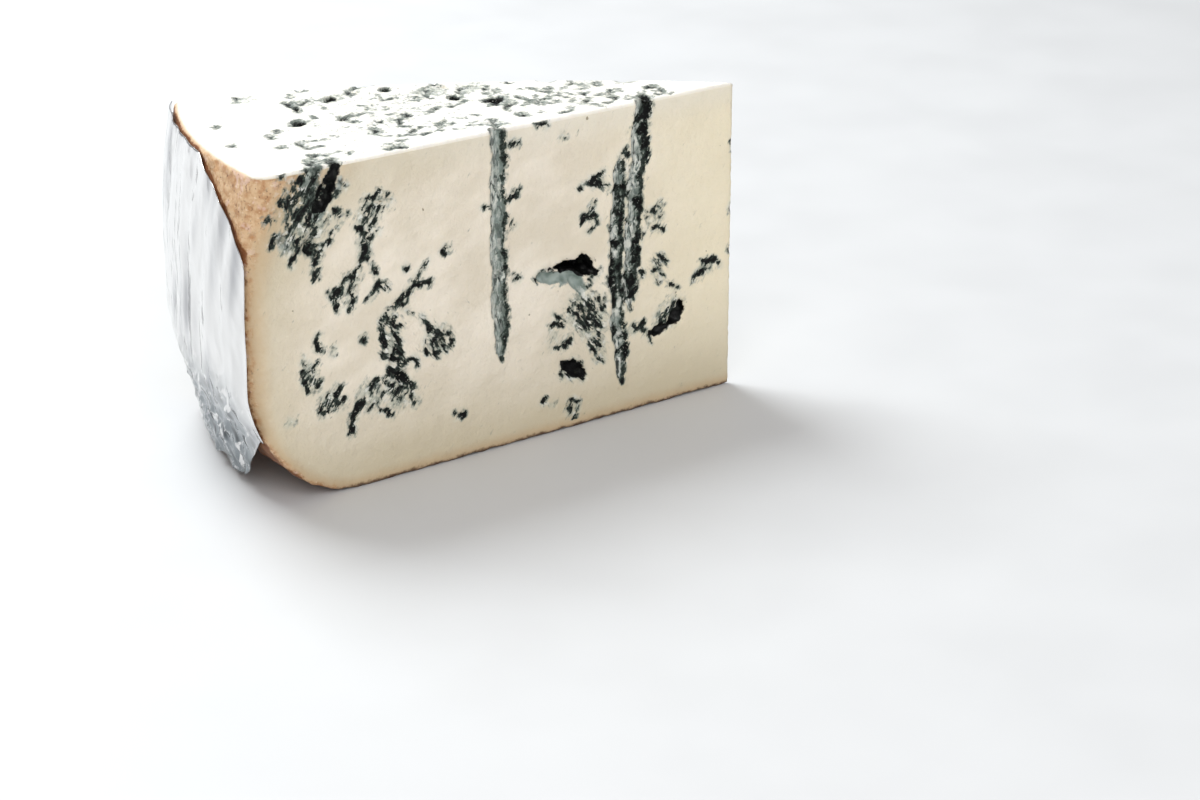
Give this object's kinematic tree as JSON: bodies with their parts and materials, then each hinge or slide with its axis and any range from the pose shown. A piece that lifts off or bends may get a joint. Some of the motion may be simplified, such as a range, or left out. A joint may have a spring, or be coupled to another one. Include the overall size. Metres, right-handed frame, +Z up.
{
  "type": "gorgonzola wedge",
  "caption": "Wedge of firm blue-veined cheese cut from half a wheel, with needle tracks, a rounded rind and loose foil over its curved side.",
  "frame": {"origin": "on the base plane, at the centre of the footprint's bounding box", "axes": "+Z up from the wheel's flat rind face that it stands on, +X towards the thin tip, -X towards the curved rind, -Y out of the front cut"},
  "size_m": [0.1498, 0.0768, 0.084],
  "materials": {
    "paste": "moist matte cream paste with grey-green veins and a brown rind",
    "foil": "crinkled bright household foil"
  },
  "bodies": {
    "root": {"cheese_wedge": "paste", "foil_wrap": "foil"}
  },
  "joints": []
}
